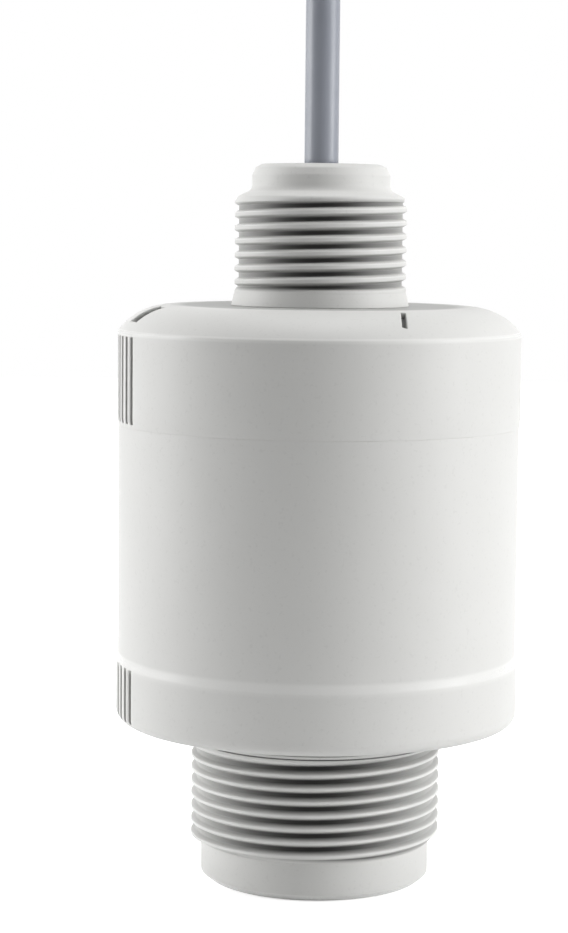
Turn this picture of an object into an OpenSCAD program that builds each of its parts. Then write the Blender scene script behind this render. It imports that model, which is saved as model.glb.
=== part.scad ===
// Radar level transmitter with a cable outlet.
// It stands on the flat end of its antenna. Millimetres, +Z up, origin at the middle of that flat end.

/* [Antenna end] */
// Diameter of the plain end below the process thread
plain_d = 43.6; // [38:0.1:45]
// Height of the plain end
plain_h = 7.4; // [4:0.1:14]
// Width of the bevel round the flat lower end
plain_bevel = 1.5; // [0.5:0.1:3]
// Major diameter of the process thread, 1 1/2 inch pipe
process_d = 47.8; // [47:0.1:58]
// Length of the process thread
process_l = 20; // [12:0.5:30]
// How far the collar above the process thread stands out beyond it
collar_step = 0.6; // [0.2:0.1:3]
// Height of the collar
collar_h = 3.2; // [2.6:0.1:6]
// Thickness of the window that the radar beam passes
window_t = 3; // [1.5:0.1:6]
// Wall of the antenna body round the horn
antenna_wall = 3.2; // [2.4:0.1:4]

/* [Housing] */
// Diameter of the body, at its foot flange
body_d = 76.4; // [74:0.2:100]
// Height of the foot flange
flange_h = 11.9; // [8:0.1:20]
// Width of the bevel under the foot flange
flange_bevel = 2.2; // [0.5:0.1:4]
// Depth of the label band below the flange
band_recess = 0.5; // [0.2:0.1:1.5]
// Height of the label band
band_h = 44.5; // [36:0.5:70]
// Wall of the label band
band_wall = 4.3; // [3.6:0.1:6]
// Thickness of the housing floor
floor_t = 3.5; // [2.5:0.1:6]
// Height of the spigot that the cover slips over
spigot_h = 10; // [6:0.5:14]
// Wall of the spigot
spigot_wall = 2; // [1.6:0.1:2.6]
// Depth of the seat that centres the antenna body's collar
seat_depth = 0.4; // [0.2:0.1:1]
// Number of guide ribs that centre the main board
guide_count = 4; // [3:1:8]
// Width of a guide rib
guide_w = 2.4; // [1.6:0.1:4]
// Space between the main board's edge and the housing wall
guide_space = 0.9; // [0.5:0.1:2]
// Width of the two lugs that keep the cover turned to the antenna
lug_w = 5; // [3:0.5:8]
// Height of a lug above the seam
lug_h = 2.5; // [1.5:0.1:4]
// How far a lug stands out from the spigot
lug_out = 1; // [0.6:0.1:1.2]

/* [Cover] */
// Depth of the cover skirt below the flange
cover_inset = 0.1; // [0:0.1:1]
// Height of the cover skirt
skirt_h = 17.6; // [15:0.1:28]
// Height of the curved bevel
bevel_h = 4.9; // [3:0.1:8]
// Width of the curved bevel, seen from above
bevel_w = 9.5; // [7.5:0.1:14]
// Slope of the bevel at the rim, in degrees
bevel_slope = 42; // [35:1:60]
// Thickness of the cover roof
roof_t = 3; // [2:0.1:4]
// Number of stiffening ribs under the roof
rib_count = 8; // [4:1:12]
// Thickness of a rib
rib_t = 1.4; // [1:0.1:2]
// Height of a rib
rib_h = 3; // [1.5:0.1:4]
// Gap between the ribs and the neck nut
rib_gap = 1.2; // [0.6:0.1:3]

/* [Marks and grips] */
// Width of the orientation slit
slit_w = 1.3; // [0.8:0.1:3]
// Direction of the orientation slit, in degrees from the front
slit_angle = 27.5; // [0:0.5:45]
// Turn of the slit about its own middle, in degrees
slit_turn = -17; // [-30:1:30]
// Width of the pocket beside the grips
pocket_w = 4.5; // [2:0.1:8]
// Direction of the pocket, in degrees from the front
pocket_angle = -69; // [-90:0.5:-45]
// Depth of the slit and the pocket
mark_depth = 1.1; // [0.4:0.1:1.6]
// Number of grip grooves in each group
grip_count = 5; // [2:1:9]
// Width of a grip groove
grip_w = 1.3; // [0.8:0.1:2]
// Depth of a grip groove
grip_depth = 0.8; // [0.3:0.1:1.2]
// Angle between grip grooves
grip_step = 4.3; // [3.5:0.1:6]
// Direction of the first grip groove, in degrees from the front
grip_start = -68.3; // [-80:0.1:-40]

/* [Cable neck] */
// Major diameter of the neck thread, 1 inch pipe
neck_d = 33.2; // [32:0.1:40]
// Length of the neck thread
neck_l = 17.2; // [12:0.1:26]
// How far the smooth foot of the neck stands out beyond the thread
neck_foot_step = 0.2; // [0:0.1:3]
// Height of the smooth foot
neck_foot_h = 2.6; // [1.6:0.1:5]
// Diameter of the cap on the neck
cap_d = 26; // [22:0.1:30]
// Height of the cap above the thread
cap_h = 6.7; // [5:0.1:12]
// Rounding of the cap's top edge
cap_round = 1.8; // [0.4:0.1:2.6]
// Diameter of the neck's spigot inside the cover
neck_spigot_d = 24; // [22:0.1:27]
// Length of that spigot below the roof
neck_spigot_l = 8; // [6.5:0.1:11]
// Bore of the neck for the cable seal
gland_bore = 18; // [14:0.1:19]

/* [Cable] */
// Diameter of the cable
cable_d = 6.4; // [5.5:0.1:8]
// Diameter of a core
core_d = 1.8; // [1.4:0.1:2]

/* [Inside] */
// Thickness of both boards
board_t = 1.6; // [1:0.1:2.4]
// Gap between the two boards
board_gap = 15.4; // [12:0.1:18]
// Clearance of slip fits
clearance = 0.15; // [0.05:0.05:0.3]

/* [Hidden] */

$fn = 96;
eps = 0.01;
housing_colour = [0.86, 0.86, 0.85];
sheath_colour = [0.48, 0.51, 0.60];
rubber_colour = [0.13, 0.13, 0.14];
board_colour = [0.10, 0.36, 0.20];
metal_colour = [0.72, 0.73, 0.75];
core_names = ["red", "black", "green", "gold", "royalblue"];

// Heights of the main levels, from the flat lower end up
collar_z = plain_h + process_l;
foot_z = collar_z + collar_h;
shoulder_z = foot_z + seat_depth;
flange_z = foot_z + flange_h;
seam_z = flange_z + band_h;
rim_z = seam_z + skirt_h;
roof_z = rim_z + bevel_h;
neck_thread_z = roof_z + neck_foot_h;
cap_z = neck_thread_z + neck_l;
neck_top_z = cap_z + cap_h;

// Antenna body
collar_d = process_d + 2 * collar_step;
antenna_bore = plain_d - 2 * antenna_wall;
antenna_spigot_d = process_d - 3.8;
antenna_top_z = foot_z + floor_t + 7.9;
seal_r = 0.8;
antenna_seal_r = antenna_spigot_d / 2 + seal_r + 0.05;

// Housing and cover
band_d = body_d - 2 * band_recess;
cover_d = body_d - 2 * cover_inset;
flat_d = cover_d - 2 * bevel_w;
housing_bore = band_d - 2 * band_wall;
wall_root = 0.5;
spigot_d = housing_bore + 2 * spigot_wall;
skirt_bore = spigot_d + 2 * clearance;
spigot_top_z = seam_z + spigot_h;
cover_seal_r = 0.9;
cover_step_z = spigot_top_z + 2 * cover_seal_r + 0.1;
roof_under_z = roof_z - roof_t;

// Curved bevel of the cover: one arc that leaves the rim at bevel_slope and ends on the flat top
chord = sqrt(bevel_w * bevel_w + bevel_h * bevel_h);
chord_slope = atan2(bevel_h, bevel_w);
bevel_half = bevel_slope - chord_slope;
bevel_r = chord / (2 * sin(bevel_half));
bevel_x = cover_d / 2 - bevel_r * sin(bevel_slope);
bevel_z = rim_z - bevel_r * cos(bevel_slope);

// Neck and gland
neck_foot_d = neck_d + 2 * neck_foot_step;
neck_hole_d = neck_spigot_d + 2 * clearance;
neck_low_z = roof_under_z - neck_spigot_l;
nut_t = 5;
nut_across = 30;
gland_top_z = cap_z - 1.5;
gland_seal_t = 11;
washer_t = 1.2;
clamp_l = 14;
washer_z = gland_top_z - gland_seal_t - washer_t;
clamp_z = washer_z - clamp_l;
entry_low_z = neck_low_z - 3;
mouth_depth = 2;
entry_top_z = neck_top_z - mouth_depth;

// Horn, lens and boards
lens_rim_t = 5.3;
lens_z = window_t + 0.1;
lens_d = antenna_bore - 2 * clearance;
horn_mouth_z = lens_z + lens_rim_t + 0.1;
horn_flange_t = 3;
horn_top_z = antenna_top_z + horn_flange_t;
horn_wall = 1.8;
throat_d = 3.4;
horn_flange_d = antenna_spigot_d + 2.4;
horn_screw_r = (antenna_spigot_d + antenna_bore) / 4;
spacer_ring_r = antenna_spigot_d / 2 - 4;
spacer_hole_d = 2.6;
radar_board_d = antenna_spigot_d + 4;
main_board_d = housing_bore - 2 * guide_space;
main_board_z = horn_top_z + board_t + board_gap;
lock_ring_t = 5;
chip_pocket = 10;

// Where the parts on the main board stand
terminal_w = 19;
terminal_d = 8;
terminal_h = 9;
terminal_y = -14;
pole_step = 3.5;
board_top_z = main_board_z + board_t;
core_ring_r = 1.9;
// Where the five cores lie in the sheath, from the left pole to the right one
core_angles = [198, 126, 270, 54, 342];

// Cable outside: the route's points, and the coil that holds the rest of its length
cable_route = [[0, 0, 134], [0, 0, 144], [0, 0, 155], [0, 0, 167], [0, 4, 182], [0, 14, 192],
    [0, 28, 196], [0, 42, 192], [0, 52, 182], [0, 56, 168], [0, 57, 153], [0, 57, 138],
    [-1, 57, 123], [-3, 58, 108], [-7, 60, 94], [-12, 64, 80], [-17, 70, 67], [-22, 78, 55],
    [-27, 88, 45], [-31, 100, 36], [-33.5, 113, 29], [-34.5, 127, 25], [-34.5, 140, 23],
    [-34.5, 153, 22.5], [-34.5, 166, 22.5]];
tail_route = [[23.5, 195, 22.5], [28.5, 189.5, 22.5], [32.5, 181.5, 22.5], [34.4, 172.5, 22.5],
    [34, 163, 22.5]];
coil_y = 170;
coil_r = 34.4;
coil_layers = 3;
coil_side = coil_layers * cable_d;
tie_angle = 120;
tie_w = 4.5;
tie_t = 1;
core_end_l = 30;
tip_l = 7;

// Points of an arc in a profile, from angle a to angle b about [x, z]
function arc(x, z, r, a, b, n = 8) =
    [for (i = [0:n]) [x + r * cos(a + (b - a) * i / n), z + r * sin(a + (b - a) * i / n)]];

// Upright turned part from a half profile of [radius, height] points
module turned(profile) {
    rotate_extrude() polygon(profile);
}

module ring_of(count, r, start = 0) {
    for (i = [0:count - 1]) rotate([0, 0, start + i * 360 / count]) translate([r, 0, 0]) children();
}

module o_ring(r, section_r, z) {
    translate([0, 0, z]) rotate_extrude() translate([r, 0]) circle(section_r, $fn = 24);
}

// The same feature on both sides of the axis, turned to an angle from the front (-Y)
module both_sides(angle) {
    for (half = [0, 180]) rotate([0, 0, angle + half]) rotate([0, 0, -90]) children();
}

// Upright grooves that give a strap wrench its hold, cut into a wall of radius r
module grips(r, low_z, high_z) {
    for (i = [0:grip_count - 1]) both_sides(grip_start - i * grip_step)
        translate([r - grip_depth, -grip_w / 2, low_z]) cube([grip_depth + 1, grip_w, high_z - low_z]);
}

// Round tube of a given radius along a list of points. side is a direction that the path never takes.
function unit(v) = v / norm(v);
function heading(p, i) = unit(p[min(i + 1, len(p) - 1)] - p[max(i - 1, 0)]);
function tube_ring(p, i, r, sides, side) = let(
    t = heading(p, i), u = unit(cross(t, side)), v = cross(t, u))
    [for (k = [0:sides - 1]) p[i] + r * (cos(360 * k / sides) * u + sin(360 * k / sides) * v)];

module tube(p, r, sides, side) {
    n = len(p);
    points = [for (i = [0:n - 1]) each tube_ring(p, i, r, sides, side)];
    walls = [for (i = [0:n - 2]) for (k = [0:sides - 1]) let(
        a = i * sides + k, b = i * sides + (k + 1) % sides)
        each [[a, b, a + sides], [b, b + sides, a + sides]]];
    start_cap = [[for (k = [sides - 1:-1:0]) k]];
    end_cap = [[for (k = [0:sides - 1]) (n - 1) * sides + k]];
    polyhedron(points, concat(walls, start_cap, end_cap));
}

module antenna_body() {
    outer_r = process_d / 2;
    lead = (process_d - plain_d) / 2;
    rebate_r = antenna_spigot_d / 2 + 2 * seal_r + 0.1;
    rebate_z = shoulder_z - 2 * seal_r - 0.05;
    color(housing_colour) difference() {
        turned([
            [0, 0], [plain_d / 2 - plain_bevel, 0], [plain_d / 2, plain_bevel * 0.8],
            [plain_d / 2, plain_h], [outer_r, plain_h + lead * 0.7], [outer_r, collar_z],
            [collar_d / 2, collar_z], [collar_d / 2, shoulder_z], [rebate_r, shoulder_z],
            [rebate_r, rebate_z], [antenna_spigot_d / 2, rebate_z],
            [antenna_spigot_d / 2, antenna_top_z], [antenna_bore / 2, antenna_top_z],
            [antenna_bore / 2, window_t], [0, window_t]]);
        ring_of(4, horn_screw_r) translate([0, 0, antenna_top_z - 6]) cylinder(7, d = 2, $fn = 24);
    }
}

module antenna_seal() {
    color(rubber_colour) o_ring(antenna_seal_r, seal_r, shoulder_z - seal_r);
}

// Ring nut that draws the antenna body against the housing floor, with four spanner slots
module lock_ring() {
    ring_r = antenna_spigot_d / 2 + 4;
    color(metal_colour) difference() {
        translate([0, 0, foot_z + floor_t]) cylinder(lock_ring_t, r = ring_r);
        translate([0, 0, foot_z]) cylinder(floor_t + lock_ring_t + 1, d = antenna_spigot_d + 2 * clearance);
        ring_of(4, ring_r, 45) translate([0, 0, foot_z + floor_t + lock_ring_t]) cube([3, 4, 5], center = true);
    }
}

// Lugs at the foot of the spigot, on both sides, and the notches for them when they grow by a gap
module seam_lugs(gap) {
    both_sides(90) translate([spigot_d / 2 - wall_root, -lug_w / 2 - gap, seam_z - gap])
        cube([wall_root + lug_out + gap, lug_w + 2 * gap, lug_h + 2 * gap]);
}

// Upright ribs on the housing wall that leave the main board a slip fit
module board_guides() {
    inner_r = main_board_d / 2 + clearance;
    ring_of(guide_count, inner_r) translate([0, -guide_w / 2, foot_z + floor_t - eps])
        cube([guide_space + wall_root, guide_w, board_top_z + 2 - foot_z - floor_t]);
}

module main_housing() {
    flange_r = body_d / 2;
    band_r = band_d / 2;
    color(housing_colour) difference() {
        turned(concat(
            [[0, foot_z], [flange_r - flange_bevel, foot_z]],
            arc(flange_r - flange_bevel, foot_z + flange_bevel, flange_bevel, -90, 0, 6),
            arc(flange_r - band_recess, flange_z - band_recess, band_recess, 0, 90, 4),
            [[band_r, seam_z], [spigot_d / 2, seam_z],
            [spigot_d / 2, spigot_top_z], [0, spigot_top_z]]));
        translate([0, 0, foot_z + floor_t]) cylinder(seam_z, d = housing_bore);
        translate([0, 0, foot_z - 1]) cylinder(floor_t + 2, d = antenna_spigot_d + 2 * clearance);
        translate([0, 0, foot_z - 1]) cylinder(1 + seat_depth, d = collar_d + 2 * clearance);
        grips(flange_r, foot_z + flange_bevel * 0.6, flange_z - band_recess);
    }
    color(housing_colour) board_guides();
    color(housing_colour) intersection() {
        seam_lugs(0);
        cylinder(rim_z, r = spigot_d / 2 + lug_out);
    }
}

module cover_seal() {
    color(rubber_colour)
        o_ring((spigot_d + housing_bore) / 4, cover_seal_r, spigot_top_z + cover_seal_r);
}

// Outline of the cover's curved bevel, lowered by a depth
function bevel_line(depth) = arc(bevel_x, bevel_z, bevel_r - depth, 90 - bevel_slope,
    90 - bevel_slope + 2 * bevel_half, 10);

// Slot of a given width in the bevel, which follows its curve at an even depth
module bevel_mark(angle, width, turn = 0) {
    middle = cover_d / 2 - bevel_w / 2;
    intersection() {
        turned(concat(bevel_line(-1), [for (i = [10:-1:0]) bevel_line(mark_depth)[i]]));
        both_sides(angle) translate([middle, 0, rim_z - bevel_h]) rotate([0, 0, turn])
            translate([-bevel_w * 0.27, -width / 2, 0]) cube([bevel_w * 0.54, width, 3 * bevel_h]);
    }
}

// Ribs from the neck nut's edge out to the sloping wall
module roof_ribs() {
    inner_r = nut_across / cos(30) / 2 + rib_gap;
    wall_slope = (housing_bore / 2 - flat_d / 2 + roof_t) / (roof_under_z - cover_step_z - 1.5);
    outer_r = flat_d / 2 - roof_t + rib_h * wall_slope;
    ring_of(rib_count, 0, 360 / rib_count / 2) translate([inner_r, -rib_t / 2, roof_under_z - rib_h])
        cube([outer_r - inner_r, rib_t, rib_h + eps]);
}

module top_cover() {
    cover_r = cover_d / 2;
    edge = 0.4;
    color(housing_colour) difference() {
        turned(concat(
            [[skirt_bore / 2, seam_z], [cover_r - edge, seam_z], [cover_r, seam_z + edge]],
            bevel_line(0),
            [[0, roof_z], [0, roof_under_z], [flat_d / 2 - roof_t, roof_under_z],
            [housing_bore / 2, cover_step_z + 1.5], [housing_bore / 2, cover_step_z],
            [skirt_bore / 2, cover_step_z]]));
        translate([0, 0, roof_under_z - 1]) cylinder(roof_t + 2, d = neck_hole_d);
        bevel_mark(slit_angle, slit_w, slit_turn);
        bevel_mark(pocket_angle, pocket_w);
        grips(cover_r, seam_z + 0.8, rim_z - 0.8);
        seam_lugs(clearance);
    }
    color(housing_colour) roof_ribs();
}

// Threaded neck, with a smooth foot on the roof and a rounded cap round the cable
module cable_neck() {
    neck_r = neck_d / 2;
    cap_r = cap_d / 2;
    lead = 1.2;
    shoulder = (neck_d - cap_d) / 2 - lead;
    rebate_r = neck_spigot_d / 2 + 2 * seal_r + 0.1;
    color(housing_colour) difference() {
        turned(concat(
            [[0, neck_low_z], [neck_spigot_d / 2, neck_low_z],
            [neck_spigot_d / 2, roof_z + 2 * seal_r + 0.05], [rebate_r, roof_z + 2 * seal_r + 0.05],
            [rebate_r, roof_z], [neck_foot_d / 2, roof_z],
            [neck_r - 0.4, neck_thread_z], [neck_r, neck_thread_z + 0.6], [neck_r, cap_z],
            [neck_r - lead, cap_z + lead * 0.6]],
            arc(cap_r + shoulder, cap_z + lead * 0.6 + shoulder * 0.6, shoulder * 0.6, 270, 180, 5),
            arc(cap_r - cap_round, neck_top_z - cap_round, cap_round, 0, 90, 6),
            [[0, neck_top_z]]));
        translate([0, 0, neck_low_z - 1]) cylinder(gland_top_z - neck_low_z + 1, d = gland_bore);
        translate([0, 0, gland_top_z - eps]) cylinder(3, d1 = gland_bore, d2 = cable_d + 2 * clearance);
        translate([0, 0, gland_top_z]) cylinder(cap_h + 3, d = cable_d + 2 * clearance);
        translate([0, 0, neck_top_z - 0.6]) cylinder(0.7, d1 = cable_d + 2 * clearance, d2 = cable_d + 1.7);
    }
}

module neck_seal() {
    color(rubber_colour) o_ring(neck_spigot_d / 2 + seal_r + 0.05, seal_r, roof_z + seal_r);
}

// Hexagon nut under the roof
module neck_nut() {
    color(metal_colour) difference() {
        translate([0, 0, roof_under_z - nut_t]) cylinder(nut_t, d = nut_across / cos(30), $fn = 6);
        translate([0, 0, roof_under_z - nut_t - 1]) cylinder(nut_t + 2, d = neck_hole_d);
    }
}

module gland_part(low_z, height, bore) {
    difference() {
        translate([0, 0, low_z]) cylinder(height, d = gland_bore - 2 * clearance);
        translate([0, 0, low_z - 1]) cylinder(height + 2, d = bore);
    }
}

module cable_seal() {
    color(rubber_colour) gland_part(gland_top_z - gland_seal_t, gland_seal_t, cable_d + 0.1);
}

module cable_washer() {
    color(metal_colour) gland_part(washer_z, washer_t, cable_d + 0.8);
}

// Hollow screw that squeezes the seal, with a hexagon socket at its lower end
module clamp_screw() {
    color(metal_colour) difference() {
        gland_part(clamp_z, clamp_l, cable_d + 0.8);
        translate([0, 0, clamp_z - 1]) cylinder(6, d = cable_d + 6, $fn = 6);
    }
}

module cable_entry() {
    color(sheath_colour) translate([0, 0, entry_low_z]) cylinder(entry_top_z - entry_low_z, d = cable_d);
}

// Lens with a flat face on the window, a plain rim and a domed back
module antenna_lens() {
    dome_base_r = lens_d / 2 - 2;
    dome_h = 3.4;
    dome_r = (dome_base_r * dome_base_r + dome_h * dome_h) / (2 * dome_h);
    dome_a = asin(dome_base_r / dome_r);
    top = lens_z + lens_rim_t;
    color("ivory") turned(concat(
        [[0, lens_z], [lens_d / 2, lens_z], [lens_d / 2, top]],
        arc(0, top + dome_h - dome_r, dome_r, 90 - dome_a, 90, 8)));
}

// Turned horn: the beam widens from the throat to the mouth, and the flange carries the radar board
module antenna_horn() {
    mouth_r = antenna_bore / 2 - 2;
    throat_r = throat_d / 2;
    outer_r = antenna_bore / 2 - clearance;
    flange_r = horn_flange_d / 2;
    color(metal_colour) difference() {
        turned([[mouth_r, horn_mouth_z], [outer_r, horn_mouth_z], [outer_r, horn_mouth_z + 3],
            [mouth_r + 0.2, horn_mouth_z + 4.5], [throat_r + horn_wall + 3, antenna_top_z - 2],
            [throat_r + horn_wall + 3, antenna_top_z], [flange_r, antenna_top_z], [flange_r, horn_top_z],
            [throat_r, horn_top_z], [throat_r, antenna_top_z - 2]]);
        translate([0, 0, horn_top_z]) cube([chip_pocket, chip_pocket, 2.6], center = true);
        ring_of(4, spacer_ring_r, 45) translate([0, 0, antenna_top_z - 1])
            cylinder(6, d = spacer_hole_d, $fn = 24);
        ring_of(4, horn_screw_r) {
            translate([0, 0, antenna_top_z - 1]) cylinder(6, d = 2.2, $fn = 24);
            translate([0, 0, horn_top_z - 1.6]) cylinder(3, d = 3.6, $fn = 24);
        }
    }
}

module radar_board() {
    color(board_colour) difference() {
        translate([0, 0, horn_top_z]) cylinder(board_t, d = radar_board_d);
        ring_of(4, spacer_ring_r, 45) translate([0, 0, horn_top_z - 1])
            cylinder(5, d = spacer_hole_d, $fn = 24);
    }
}

module radar_chip() {
    color("dimgray") translate([-3.5, -3.5, horn_top_z - 0.9]) cube([7, 7, 0.9]);
}

// Pressed can over the radio part of the board, open below
module shield_can() {
    sheet = 0.4;
    color(metal_colour) translate([0, 0, horn_top_z + board_t]) difference() {
        translate([-12, -9, 0]) cube([24, 18, 4.5]);
        translate([-12 + sheet, -9 + sheet, -1]) cube([24 - 2 * sheet, 18 - 2 * sheet, 5.5 - sheet]);
    }
}

// Cylinder-head screw, its head's underside at z = 0
module screw(head_d, head_h, shank_d, shank_l) {
    difference() {
        cylinder(head_h, d = head_d, $fn = 24);
        translate([0, 0, head_h / 2]) cylinder(head_h, d = head_d * 0.55, $fn = 6);
    }
    translate([0, 0, -shank_l]) cylinder(shank_l + eps, d = shank_d, $fn = 24);
}

// Countersunk screws that hold the horn on the antenna body
module horn_screws() {
    color(metal_colour) ring_of(4, horn_screw_r)
        translate([0, 0, horn_top_z - 1.6]) screw(3.4, 1.5, 1.9, 6);
}

// Hexagon spacers: their studs pass the radar board into the horn, and they carry the main board
module board_spacers() {
    across = 4.5;
    color(metal_colour) ring_of(4, spacer_ring_r, 45) translate([0, 0, horn_top_z + board_t]) {
        difference() {
            cylinder(board_gap, d = across / cos(30), $fn = 6);
            translate([0, 0, board_gap - 7]) cylinder(8, d = 2.6, $fn = 24);
        }
        translate([0, 0, 0.2 - board_t - horn_flange_t])
            cylinder(board_t + horn_flange_t, d = spacer_hole_d - 0.1, $fn = 24);
    }
}

module main_board() {
    color(board_colour) difference() {
        translate([0, 0, main_board_z]) cylinder(board_t, d = main_board_d);
        ring_of(4, spacer_ring_r, 45) translate([0, 0, main_board_z - 1]) cylinder(5, d = 2.8, $fn = 24);
    }
}

module board_screws() {
    color(metal_colour) ring_of(4, spacer_ring_r, 45)
        translate([0, 0, board_top_z]) screw(4.4, 2, 2.5, board_t + 6);
}

module board_link() {
    color("dimgray") translate([-20.5, -6, horn_top_z + board_t]) cube([4, 12, board_gap]);
}

module terminal_block() {
    color("darkgreen") difference() {
        translate([-terminal_w / 2, terminal_y - terminal_d / 2, board_top_z])
            cube([terminal_w, terminal_d, terminal_h]);
        for (i = [-2:2]) translate([i * pole_step, terminal_y - 1.8, board_top_z + terminal_h - 2.5])
            cylinder(3, d = 2.6, $fn = 24);
        for (i = [-2:2]) translate([i * pole_step, terminal_y + 2, board_top_z + terminal_h - 3])
            cylinder(4, d = core_d + 0.8, $fn = 24);
    }
}

module terminal_screws() {
    color(metal_colour) for (i = [-2:2])
        translate([i * pole_step, terminal_y - 1.8, board_top_z + terminal_h - 2.5]) difference() {
            cylinder(1.8, d = 2.4, $fn = 24);
            translate([0, 0, 1.6]) cube([3, 0.5, 1], center = true);
        }
}

module processor_chip() {
    color("dimgray") translate([-5, 4, board_top_z]) cube([10, 10, 1.4]);
}

module isolation_transformer() {
    color("goldenrod") translate([10, -3, board_top_z]) {
        cube([12, 10, 1.5]);
        translate([1, 1, 1.5]) cube([10, 8, 5.5]);
        translate([0, 0, 7]) cube([12, 10, 1.5]);
    }
}

module filter_capacitors() {
    color("midnightblue") for (x = [-4.5, 4.5])
        translate([x, 21, board_top_z]) cylinder(11, d = 8, $fn = 32);
}

module power_inductor() {
    color("dimgray") translate([-17, 1, board_top_z]) {
        cylinder(1, d = 10, $fn = 32);
        translate([0, 0, 1]) cylinder(3.5, d = 7, $fn = 32);
        translate([0, 0, 4.5]) cylinder(1, d = 10, $fn = 32);
    }
}

// One core from the cable's stripped end down to its own pole, along a curve with upright ends
module inner_core(i) {
    a = [core_ring_r * cos(core_angles[i]), core_ring_r * sin(core_angles[i]), entry_low_z - 0.1];
    d = [(i - 2) * pole_step, terminal_y + 2, board_top_z + terminal_h - 2];
    b = a - [0, 0, 12];
    c = d + [0, 0, 12];
    path = [for (s = [0:7]) let(t = s / 7, q = 1 - t)
        q * q * q * a + 3 * q * q * t * b + 3 * q * t * t * c + t * t * t * d];
    color(core_names[i]) tube(path, core_d / 2, 8, [1, 0, 0]);
}

module red_core() { inner_core(0); }
module black_core() { inner_core(1); }
module green_core() { inner_core(2); }
module yellow_core() { inner_core(3); }
module blue_core() { inner_core(4); }

module cable_run() {
    color(sheath_colour) tube(cable_route, cable_d / 2, 10, [1, 0, 0]);
}

// Square frame round the coil's bundle where the tie holds it
module tie_frame(grow, wide) {
    translate([0, coil_y, 0]) rotate([0, 0, tie_angle]) translate([coil_r, 0, coil_side / 2]) difference() {
        cube([coil_side + grow, wide, coil_side + grow], center = true);
        cube([coil_side - 2 * tie_t, wide + 1, coil_side - 2 * tie_t], center = true);
    }
}

// Outer shape of the neat coil that holds the rest of the cable
module cable_coil() {
    half = coil_side / 2;
    round_r = cable_d / 2;
    color(sheath_colour) difference() {
        translate([0, coil_y, 0]) turned(concat(
            arc(coil_r + half - round_r, round_r, round_r, -90, 0, 4),
            arc(coil_r + half - round_r, coil_side - round_r, round_r, 0, 90, 4),
            arc(coil_r - half + round_r, coil_side - round_r, round_r, 90, 180, 4),
            arc(coil_r - half + round_r, round_r, round_r, 180, 270, 4)));
        tie_frame(1, tie_w + 2 * clearance);
    }
}

module cable_tail() {
    color(sheath_colour) tube(tail_route, cable_d / 2, 10, [0, 0, 1]);
}

module cable_tie() {
    color("black") {
        tie_frame(0, tie_w);
        translate([0, coil_y, 0]) rotate([0, 0, tie_angle]) translate([coil_r - 4, -3, coil_side])
            cube([7, 6, 3.6]);
    }
}

// A core's free end: it leaves the sheath, lies down on the coil's turns and follows them, fanned out
tail_end = tail_route[len(tail_route) - 1];
tail_r = norm([tail_end[0], tail_end[1] - coil_y]);
tail_angle = atan2(tail_end[1] - coil_y, tail_end[0]);
fan_step = 2.4;
function end_path(i) = [for (k = [0:5]) let(
    s = k / 5, fan = min(1, 2 * s), start = core_angles[i] + 180,
    lie = coil_side + core_d / 2 + 0.1,
    r = tail_r + (1 - fan) * core_ring_r * cos(start) + fan * (2 - i) * fan_step,
    z = (1 - fan) * (tail_end[2] + core_ring_r * sin(start)) + fan * lie,
    angle = tail_angle - 1.5 - s * core_end_l / tail_r * 180 / PI)
    [r * cos(angle), coil_y + r * sin(angle), z]];

module core_end(i) {
    color(core_names[i]) tube(end_path(i), core_d / 2, 8, [0, 0, 1]);
}

module red_end() { core_end(0); }
module black_end() { core_end(1); }
module green_end() { core_end(2); }
module yellow_end() { core_end(3); }
module blue_end() { core_end(4); }

module core_tips() {
    color(metal_colour) for (i = [0:4]) let(p = end_path(i), t = heading(p, 5))
        tube([p[5], p[5] + tip_l * t], 0.5, 8, [0, 0, 1]);
}

antenna_body();
main_housing();
top_cover();
cable_neck();
antenna_seal();
lock_ring();
cover_seal();
neck_seal();
neck_nut();
cable_seal();
cable_washer();
clamp_screw();
cable_entry();
antenna_lens();
antenna_horn();
horn_screws();
radar_board();
radar_chip();
shield_can();
board_spacers();
main_board();
board_screws();
board_link();
terminal_block();
terminal_screws();
processor_chip();
isolation_transformer();
filter_capacitors();
power_inductor();
red_core();
black_core();
green_core();
yellow_core();
blue_core();
cable_run();
cable_coil();
cable_tail();
cable_tie();
red_end();
black_end();
green_end();
yellow_end();
blue_end();
core_tips();
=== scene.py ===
# Looks of a radar level transmitter with a cable outlet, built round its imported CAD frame.
# Shapes are worked out in millimetres, in the frame of the part, and become metres in the meshes.
import math

import bpy
import numpy as np
from mathutils import Matrix


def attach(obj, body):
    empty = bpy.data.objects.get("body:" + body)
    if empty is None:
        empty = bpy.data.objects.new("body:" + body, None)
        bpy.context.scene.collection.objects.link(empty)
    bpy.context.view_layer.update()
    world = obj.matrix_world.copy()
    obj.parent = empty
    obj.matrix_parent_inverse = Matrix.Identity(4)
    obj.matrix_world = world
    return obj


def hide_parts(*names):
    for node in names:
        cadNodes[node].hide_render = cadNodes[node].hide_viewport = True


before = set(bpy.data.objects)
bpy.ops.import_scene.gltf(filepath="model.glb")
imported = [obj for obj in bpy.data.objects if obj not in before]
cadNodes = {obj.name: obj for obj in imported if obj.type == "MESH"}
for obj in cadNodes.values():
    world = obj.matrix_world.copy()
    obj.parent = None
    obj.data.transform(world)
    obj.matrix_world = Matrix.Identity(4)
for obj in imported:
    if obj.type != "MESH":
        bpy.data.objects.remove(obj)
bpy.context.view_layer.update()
mm = 0.001


def addObject(name, data):
    # an object at the origin
    thing = bpy.data.objects.new(name, data)
    bpy.context.scene.collection.objects.link(thing)
    return thing


# the camera stands at the height of the neck thread, aimed a little down and to the left
cameraSet = {"distance": 0.4757, "height": 0.1255, "down": 5.604, "left": 0.783, "roll": 0.547, "lens": 96.9}


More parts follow.
